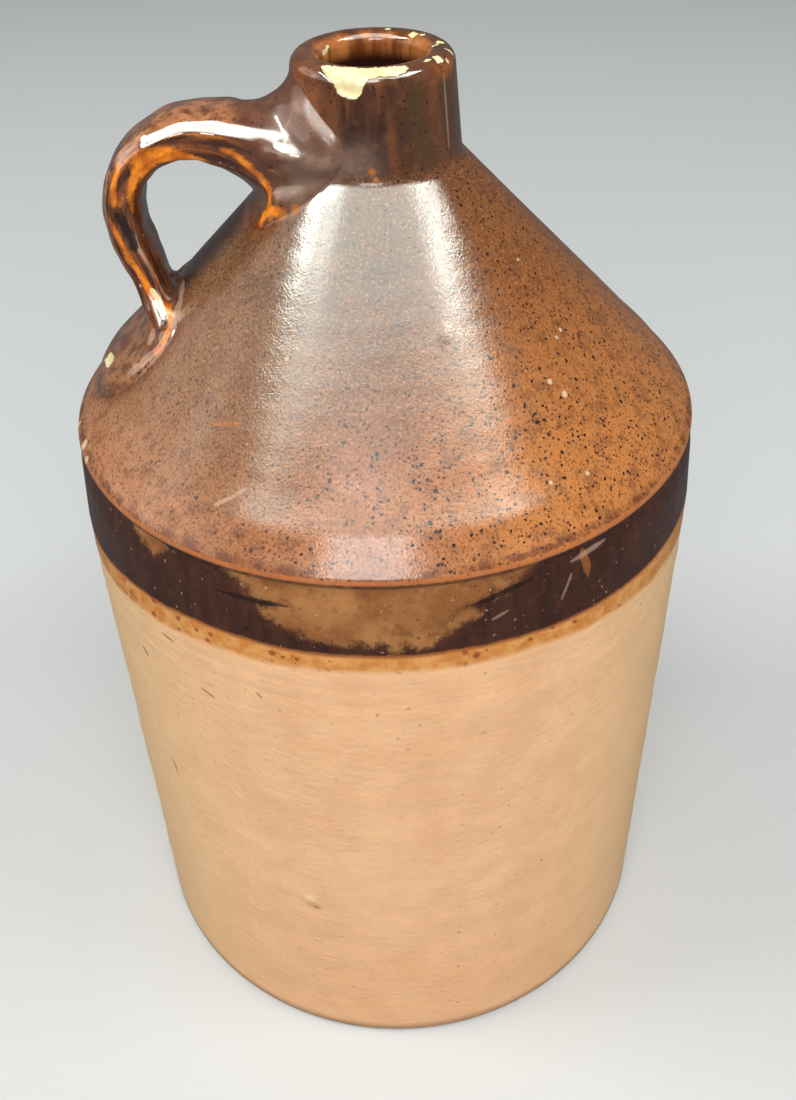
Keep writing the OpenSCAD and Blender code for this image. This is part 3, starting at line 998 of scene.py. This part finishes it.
def streaked_neck(g, n):
    """Neck in upright brown and olive streaks, with rust colour round its lip."""
    left = g.mul(g.step(n.side, -0.12, -0.2), g.step(n.patch, 0.35, 0.6, 0.2, 0.9))
    olive = g.mul(g.step(n.side, 0.04, 0.16), g.step(n.streak, 0.4, 0.6, 0.7, 0.1))
    lip = g.mul(g.step(n.z, 280.5, 284), g.step(n.patch, 0.42, 0.62, 0.1, 0.85))
    rust = g.mul(g.between(n.z, 279.5, 281.8, 283.4, 285.2), g.step(n.mottle, 0.45, 0.62, 0, 0.85))
    return g.layers(
        g.ramp(n.streak, 0.36, 0.66, (0.044, 0.016, 0.01), (0.155, 0.052, 0.02)),
        (g.step(n.patch, 0.5, 0.78, 0, 0.55), (0.22, 0.078, 0.028)),
        (left, (0.28, 0.095, 0.03)),
        (olive, (0.1, 0.055, 0.018)),
        (lip, (0.18, 0.066, 0.03)),
        (rust, (0.36, 0.095, 0.018)),
        (g.speck(n.small, 0.5, 0.4, 0.7), (0.018, 0.008, 0.006)))


def glassy_handle(g, n):
    """Handle, tan on its top face, dark on its sides and orange where the glaze ran thin."""
    top = g.mul(g.step(n.strap_top, 3, 6.4), g.step(n.rho, 30, 38))
    top_tan = g.ramp(n.patch, 0.36, 0.62, (0.17, 0.05, 0.017), (0.52, 0.21, 0.085))
    root_brown = g.ramp(n.patch, 0.35, 0.7, (0.11, 0.038, 0.018), (0.19, 0.068, 0.032))
    amber = g.ramp(n.patch, 0.35, 0.62, (0.6, 0.135, 0.006), (0.98, 0.3, 0.014))
    run_thin = g.plus(n.wear, g.plus(g.ragged(n.pulled, 1.3), g.ragged(n.grain, 0.5)))
    flaw = g.plus(n.wear, g.ragged(n.grain, 1.2))
    # the tail goes back to the colour of the cone
    tail = g.mul(g.step(n.strap_length, 84, 92), g.step(n.strap_top, -2, 1.5))
    tail_brown = g.ramp(n.patch, 0.38, 0.6, (0.19, 0.062, 0.024), (0.42, 0.175, 0.075))
    return g.layers(
        g.ramp(n.pulled, 0.36, 0.66, (0.06, 0.018, 0.009), (0.24, 0.076, 0.024)),
        (top, top_tan),
        (g.step(n.rho, 36, 30), root_brown),
        (g.speck(n.small, 0.6, 0.18, 0.7), (0.02, 0.008, 0.006)),
        (g.speck(n.large, 0.42, 0.3, 0.9), (0.7, 0.5, 0.34)),
        (g.step(run_thin, 0.22, 0.95), amber),
        # painted highlights and pale smears along the handle's edges and ridges
        (g.step(g.plus(n.pale, g.ragged(n.pulled, 0.9)), 0.35, 1, 0, 0.75), (0.52, 0.35, 0.26)),
        (g.step(flaw, -0.25, -0.75, 0, 0.9), (0.012, 0.006, 0.007)),
        (g.mul(tail, g.step(n.wear, 0.4, 0.1)), tail_brown),
        (g.mul(g.mul(tail, n.dots), 0.8), (0.03, 0.013, 0.01)))


def glaze():
    g = Shader("glazed_stoneware")
    n = shared(g)

    # zones from the foot up, each with the line where it begins
    tilted = g.math("MULTIPLY_ADD", n.y, 0.029, n.z)
    ochre_line = g.plus(tilted, g.mul(g.mul(n.side, n.side), 3), g.ragged(n.mottle, 3), g.ragged(n.grain, 0.8))
    band_line = g.plus(tilted, g.ragged(n.patch, 1.3), g.ragged(n.broad, 5))
    neck_line = g.plus(n.z, g.ragged(n.patch, 7))
    is_ochre = g.step(ochre_line, 163, 165.4)
    is_band = g.step(band_line, 169.2, 169.9)
    is_cone = g.step(n.z, 191.6, 192.6)
    is_neck = g.either(g.step(neck_line, 259.5, 264.5), g.step(n.near, 0.25, 0.8), n.handle)

    # neck and handle, with a painted sheen at the foot of the neck beside the pad
    painted_foot_sheen = g.mul(g.step(n.z, 274, 265), g.mul(g.step(n.x, 5, -4), g.step(n.y, -9, -14)),
                 g.mul(g.step(n.x, -23, -19), g.step(n.patch, 0.3, 0.6, 0.35, 0.8)))
    neck = g.layers(streaked_neck(g, n), (n.handle, glassy_handle(g, n)), (painted_foot_sheen, (0.235, 0.145, 0.105)))

    # lines where the glaze drew back from the shoulder's edge, painted shade under that edge, and painted shade
    # on the cone under the strap
    drawn = g.mul(g.between(n.z, 192, 192.6, 193.1, 193.6), g.step(n.patch, 0.3, 0.6, 0.4, 0.95))
    # painted shade: dark line on the underside of the shoulder's rounded edge
    under = g.mul(g.between(n.z, 190.6, 191.3, 192, 192.5), 0.6)
    over = g.mul(g.between(n.z, 193.4, 193.9, 194.4, 195.6), g.step(n.patch, 0.4, 0.6, 0.25, 0.85))
    # painted shade on the cone under the strap, between root and foot
    painted_strap_shade = g.mul(g.step(g.math("ABSOLUTE", n.y), 15, 3), g.between(n.x, -62, -50, -32, -26))

    # inside of the mouth and body, near black below the lip with painted shade, and the bare underside
    above = g.math("MAXIMUM", g.math("SUBTRACT", n.z, SHOULDER[1]), 0)
    depth = g.math("MULTIPLY_ADD", above, 1 / CONE_FALL, n.rho)
    off_handle = g.math("SUBTRACT", 1, n.handle)
    hollow = g.either(g.step(depth, 82.6, 81.4), g.step(n.rho, 15, 13.4))
    inside = g.mul(hollow, off_handle, g.step(n.z, 4, 5))
    bore = g.ramp(n.streak, 0.35, 0.65, (0.16, 0.043, 0.012), (0.56, 0.2, 0.055))
    # painted shade: the inside goes near black from just below the lip downward
    bore = g.ramp(n.z, 282, 278.8, bore, (0.026, 0.009, 0.005))
    underside = g.ramp(n.patch, 0.35, 0.65, (0.34, 0.19, 0.1), (0.55, 0.35, 0.2))

    # chips, glaze loss and scratches
    bare = g.step(g.plus(n.chip, g.ragged(n.grain, 0.5)), 0.06, -0.06)
    buff = g.ramp(n.patch, 0.4, 0.65, (0.7, 0.57, 0.3), (0.82, 0.74, 0.48))
    pale_spots = g.either(*[g.spot(n.mm, on_body(a, s), r) for a, s, r in PALE_SPOTS])
    rust_spots = g.either(*[g.spot(n.mm, on_body(a, s), r, 0.6) for a, s, r in RUST_SPOTS])
    pale_lines, rust_lines, dark_lines = (
        g.either(*[g.scratch(n.mm, on_body(*a), on_body(*b), half) for a, b, half in table])
        for table in (PALE_LINES, RUST_LINES, DARK_LINES))

    colour = g.layers(
        cream_body(g, n),
        (is_ochre, ochre_stripe(g, n)),
        (g.step(band_line, 168, 169.3, 0, 0.8), (0.2, 0.045, 0.012)),
        (is_band, dark_band(g, n)),
        (is_cone, rust_cone(g, n)),
        (drawn, (0.5, 0.155, 0.05)),
        # painted shade under the shoulder's edge
        (under, (0.05, 0.018, 0.01)),
        (over, (0.16, 0.05, 0.022)),
        # painted shade on the cone under the strap
        (g.mul(painted_strap_shade, 0.85), (0.03, 0.012, 0.007)),
        (is_neck, neck),
        (inside, bore),
        (g.mul(g.step(n.z, 1.6, 0.8), off_handle), underside),
        (g.mul(g.either(rust_spots, g.mul(rust_lines, 0.55)), 0.85), (0.48, 0.15, 0.03)),
        (g.mul(dark_lines, 0.85), g.mix(is_ochre, (0.3, 0.13, 0.05), (0.018, 0.008, 0.006))),
        (g.mul(pale_lines, 0.4), (0.5, 0.32, 0.22)),
        (g.mul(pale_spots, 0.8), (0.66, 0.48, 0.3)),
        (bare, buff))

    # gloss: satin body, glassy band, cone, neck and handle
    rough = g.lerp(is_ochre, g.math("MULTIPLY_ADD", n.mottle, 0.12, 0.42), 0.3)
    rough = g.lerp(is_band, rough, g.math("MULTIPLY_ADD", n.patch, 0.12, 0.12))
    rough = g.lerp(is_neck, rough, g.math("MULTIPLY_ADD", n.patch, 0.1, 0.05))
    rough = g.lerp(g.mul(n.handle, g.step(n.rho, 34, 26)), rough, 0.3)
    rough = g.lerp(g.either(bare, pale_spots, pale_lines), rough, 0.75)

    # second clear coat on neck and handle, thinner on the neck and at the very root
    coat = g.lerp(n.handle, 0.55, g.step(n.strap_length, 2, 8, 0.1, 1))
    coat = g.mul(coat, g.mul(is_neck, g.math("SUBTRACT", 1, g.either(bare, inside))))

    # small relief: orange peel of the glaze, grit and throwing marks of the body
    peel = g.mul(g.noise(n.mm, 0.5, 2, 0.55)[0], g.lerp(is_cone, 0.42, 0.045))
    grit = g.mul(g.noise(n.mm, 1.9, 1, 0.5)[0], 0.045)
    rings = g.mul(g.math("SUBTRACT", 1, is_ochre), g.mul(n.thrown, 0.3))
    height = g.mul(g.plus(peel, grit, rings), g.lerp(is_neck, 1, 0.3))
    bump = g.add("Bump", {"Strength": 0.7, "Distance": MM, "Height": height})[0]

    g.fill(g.bsdf, {
        "Base Color": colour, "Roughness": rough, "IOR": 1.55, "Normal": bump,
        "Coat Weight": coat, "Coat Roughness": 0.1, "Coat IOR": 1.75})
    return g.mat


jug.data.materials.append(glaze())
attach(jug, "root")
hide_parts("jug")

# Floor
floor_mesh = bpy.data.meshes.new("floor")
REACH = 7.0
corners = [(x * REACH, y * REACH, 0) for x, y in ((-1, -1), (1, -1), (1, 1), (-1, 1))]
floor_mesh.from_pydata(corners, [], [(0, 1, 2, 3)])
floor = new_object("floor", floor_mesh)
paint = Shader("pale_floor")
paint.fill(paint.bsdf, {"Base Color": (0.6, 0.61, 0.63), "Roughness": 0.8})
floor_mesh.materials.append(paint.mat)
floor.visible_glossy = False


# Lights, each aimed at the cone
AIM = Vector((0, 0, 0.22))


def area_light(name, size, power, colour):
    data = bpy.data.lights.new(name, "AREA")
    data.shape = "RECTANGLE"
    data.size, data.size_y = size
    data.energy = power
    data.color = colour
    light = new_object(name, data)
    light.visible_camera = False
    return light


def bar(name, start, end, width, power, colour):
    """Long light between two places, facing the jug."""
    start, end = Vector(start), Vector(end)
    light = area_light(name, ((end - start).length, width), power, colour)
    mid = (start + end) / 2
    x_way = (end - start).normalized()
    z_way = mid - AIM
    z_way = (z_way - x_way * z_way.dot(x_way)).normalized()
    facing = Matrix((x_way, z_way.cross(x_way), z_way)).transposed().to_4x4()
    light.matrix_world = Matrix.Translation(mid) @ facing


def soft_box(name, az, el, dist, size, power, colour, kind):
    """Light at an azimuth from the viewer's side, right positive, and an elevation.

    A sheen light is seen in reflections only, and a fill light only lights matt colour."""
    light = area_light(name, size, power, colour)
    a, e = math.radians(az), math.radians(el)
    way = Vector((math.sin(a) * math.cos(e), -math.cos(a) * math.cos(e), math.sin(e)))
    light.location = AIM + way * dist
    light.rotation_euler = way.to_track_quat("Z", "Y").to_euler()
    light.visible_glossy = kind == "sheen"
    light.visible_diffuse = kind == "fill"


bar("bar_left", (-1.46, -0.5, 1.82), (-1.58, 0.35, 1.82), 0.19, 19, (0.93, 1.0, 0.9))
bar("bar_right", (1.02, -0.73, 1.82), (1.57, 0.0, 1.82), 0.09, 11, (0.94, 1.0, 0.92))
for light in (
    ("ceiling", 0, 72, 1.68, (3.0, 0.98), 76, (0.9, 1.0, 0.92), "sheen"),
    ("panel_left", -65, 53.5, 1.5, (0.32, 0.18), 2.4, (0.97, 1.0, 0.95), "sheen"),
    ("panel_front", 0, 53, 2.3, (3.4, 0.28), 8.0, (0.97, 1.0, 0.97), "sheen"),
    ("panel_low", -8, 48.5, 2.3, (1.3, 0.2), 1.1, (1.0, 0.98, 0.96), "sheen"),
    ("side_left", -76, 23, 1.8, (1.1, 0.6), 2.6, (0.95, 1.0, 0.94), "sheen"),
    ("wall_left", -106, 24, 1.8, (1.2, 0.9), 3.8, (1.0, 0.82, 0.72), "sheen"),
    ("lamp", -8, 38.5, 1.7, (0.76, 0.4), 9.0, (1.0, 0.98, 0.96), "sheen"),
    ("fill_front", 1, 40, 2.2, (2.0, 1.6), 41.5, (1.0, 0.985, 0.96), "fill"),
    ("fill_top", 0, 88, 2.2, (2.4, 2.4), 16, (1, 1, 1), "fill"),
):
    soft_box(*light)

world = bpy.data.worlds.new("studio")
world.use_nodes = True
sky = world.node_tree.nodes["Background"]
sky.inputs["Color"].default_value = (0.95, 0.97, 1.0, 1)
sky.inputs["Strength"].default_value = 0.12
bpy.context.scene.world = world
bpy.context.scene.view_settings.view_transform = "Standard"

# Camera at the photograph's place and angle, in metres and radians
TILT, ROLL = 0.648, -0.034
EYE = Vector((0.000765, -0.27799, 0.36354))
LENS = 37.551
SHIFT = (0.00674, -0.04817)
back = Vector((0, -math.cos(TILT), math.sin(TILT)))
level = Vector((1, 0, 0))
upright = back.cross(level)
right = level * math.cos(ROLL) + upright * math.sin(ROLL)
up = upright * math.cos(ROLL) - level * math.sin(ROLL)
cam_data = bpy.data.cameras.new("camera")
cam_data.sensor_fit = "AUTO"
cam_data.sensor_width = 36
cam_data.lens = LENS
cam_data.shift_x, cam_data.shift_y = SHIFT
cam_data.clip_start = 0.01
camera = new_object("camera", cam_data)
camera.matrix_world = Matrix.Translation(EYE) @ Matrix((right, up, back)).transposed().to_4x4()
bpy.context.scene.camera = camera

bpy.context.view_layer.update()
